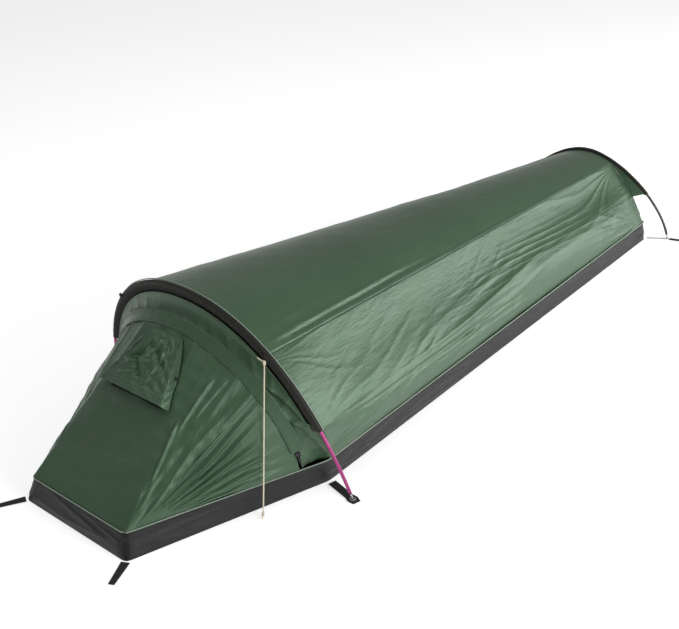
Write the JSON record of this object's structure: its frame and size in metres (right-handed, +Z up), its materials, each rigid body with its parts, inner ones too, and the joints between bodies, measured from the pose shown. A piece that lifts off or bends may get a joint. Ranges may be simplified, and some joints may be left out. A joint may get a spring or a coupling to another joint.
{
  "type": "bivy sack",
  "caption": "Low one-person bivy tent: coffin-shaped bathtub floor, tall hoop at the head, small hoop at the foot, zipped hood door with a vent awning, and a guy line.",
  "frame": {"origin": "centre of the footprint, on the ground under the floor", "axes": "+Z up, +Y from the head end (door) to the foot end, +X the sleeper's right-hand side seen from the foot"},
  "size_m": [0.916, 2.3343, 0.4789],
  "materials": {
    "shell_green": "coated ripstop with a soft sheen",
    "tub_black": "coated heavy cloth, satin",
    "sleeve_black": "matt woven cloth",
    "webbing_black": "matt woven webbing",
    "piping_grey": "matt cord piping",
    "mesh_dark": "fine insect mesh",
    "purple_tube": "magenta anodised, satin",
    "grey_tube": "dark anodised, satin",
    "bare_alloy": "plain satin alloy",
    "zip_black": "nylon coil",
    "elastic_white": "braided elastic",
    "guy_cream": "braided cord"
  },
  "bodies": {
    "bag": {"tub_floor": "tub_black", "tub_piping": "piping_grey", "roof_panel": "shell_green", "side_panel_left": "shell_green", "side_panel_right": "shell_green", "foot_panel": "shell_green", "foot_wing_left": "shell_green", "foot_wing_right": "shell_green", "brow_panel": "shell_green", "zip_half_brow": "zip_black", "storm_flap": "shell_green", "front_peg_loop_left": "webbing_black", "front_peg_loop_right": "webbing_black", "pole_strap_left": "webbing_black", "pole_strap_right": "webbing_black", "strap_grommet_left": "bare_alloy", "strap_grommet_right": "bare_alloy", "rear_ring_left": "bare_alloy", "rear_ring_right": "bare_alloy", "rear_stay_left": "webbing_black", "rear_stay_right": "webbing_black", "rear_peg_loop_left": "webbing_black", "rear_peg_loop_right": "webbing_black", "guy_line": "guy_cream"},
    "front_hoop": {"front_pole_section_1": "purple_tube", "front_pole_section_2": "purple_tube", "front_pole_section_3": "purple_tube", "front_pole_section_4": "purple_tube", "front_pole_ferrule_1": "bare_alloy", "front_pole_ferrule_2": "bare_alloy", "front_pole_ferrule_3": "bare_alloy", "front_pole_tip_left": "bare_alloy", "front_pole_tip_right": "bare_alloy", "front_pole_shock_cord": "elastic_white", "front_sleeve": "sleeve_black", "sleeve_piping": "piping_grey", "guy_tab_left": "webbing_black", "guy_tab_right": "webbing_black"},
    "rear_hoop": {"rear_pole_section_1": "grey_tube", "rear_pole_section_2": "grey_tube", "rear_pole_section_3": "grey_tube", "rear_pole_ferrule_1": "bare_alloy", "rear_pole_ferrule_2": "bare_alloy", "rear_pole_tip_left": "bare_alloy", "rear_pole_tip_right": "bare_alloy", "rear_pole_shock_cord": "elastic_white", "rear_sleeve": "sleeve_black"},
    "hood_left": {"hood_side_left": "shell_green"},
    "hood_right": {"hood_side_right": "shell_green"},
    "door": {"door_panel": "shell_green", "zip_half_door": "zip_black", "vent_cover": "shell_green", "vent_stiffener": "webbing_black", "vent_gusset_left": "shell_green", "vent_gusset_right": "shell_green", "vent_mesh": "mesh_dark", "vent_tab": "shell_green"},
    "slider": {"zip_slider": "bare_alloy"},
    "pull": {"zip_pull": "webbing_black"}
  },
  "joints": [
    {"name": "front_hoop_fold", "type": "hinge", "parent": "bag", "child": "front_hoop", "pos_m": [0, -0.59635, 0.0045], "axis": [-1, 0, 0], "range_deg": [0, 84], "deforming": ["roof_panel", "side_panel_left", "side_panel_right", "brow_panel", "foot_panel", "foot_wing_left", "foot_wing_right", "zip_half_brow", "storm_flap"]},
    {"name": "rear_hoop_fold", "type": "hinge", "parent": "bag", "child": "rear_hoop", "pos_m": [0, 1.14625, 0.0045], "axis": [-1, 0, 0], "range_deg": [0, 84]},
    {"name": "door_fold", "type": "hinge", "parent": "bag", "child": "door", "pos_m": [0, -1.07185, 0.0655], "axis": [-1, 0, 0], "range_deg": [-125, 0], "deforming": ["storm_flap"]},
    {"name": "hood_right_fall", "type": "hinge", "parent": "bag", "child": "hood_right", "pos_m": [0.1765, -1.07185, 0.0655], "axis": [0.3196, 0.9476, 0], "range_deg": [-70, 0]},
    {"name": "hood_left_fall", "type": "hinge", "parent": "bag", "child": "hood_left", "pos_m": [-0.1765, -1.07185, 0.0655], "axis": [0.3196, -0.9476, 0], "range_deg": [-70, 0]},
    {"name": "zip_slide", "type": "hinge", "parent": "bag", "child": "slider", "pos_m": [0, -0.64785, 0.0823], "axis": [0, 0.9707, 0.2402], "range_deg": [-168, 0]},
    {"name": "zip_pull_swing", "type": "hinge", "parent": "slider", "child": "pull", "pos_m": [0.32318, -0.65576, 0.10678], "axis": [-0.6397, -0.7285, -0.2449], "range_deg": [0, 70], "deforming": ["storm_flap"]}
  ],
  "couplings": [
    {"joint": "rear_hoop_fold", "follows": "front_hoop_fold", "ratio": 1},
    {"joint": "hood_right_fall", "follows": "door_fold", "ratio": 0.56},
    {"joint": "hood_left_fall", "follows": "door_fold", "ratio": 0.56}
  ]
}
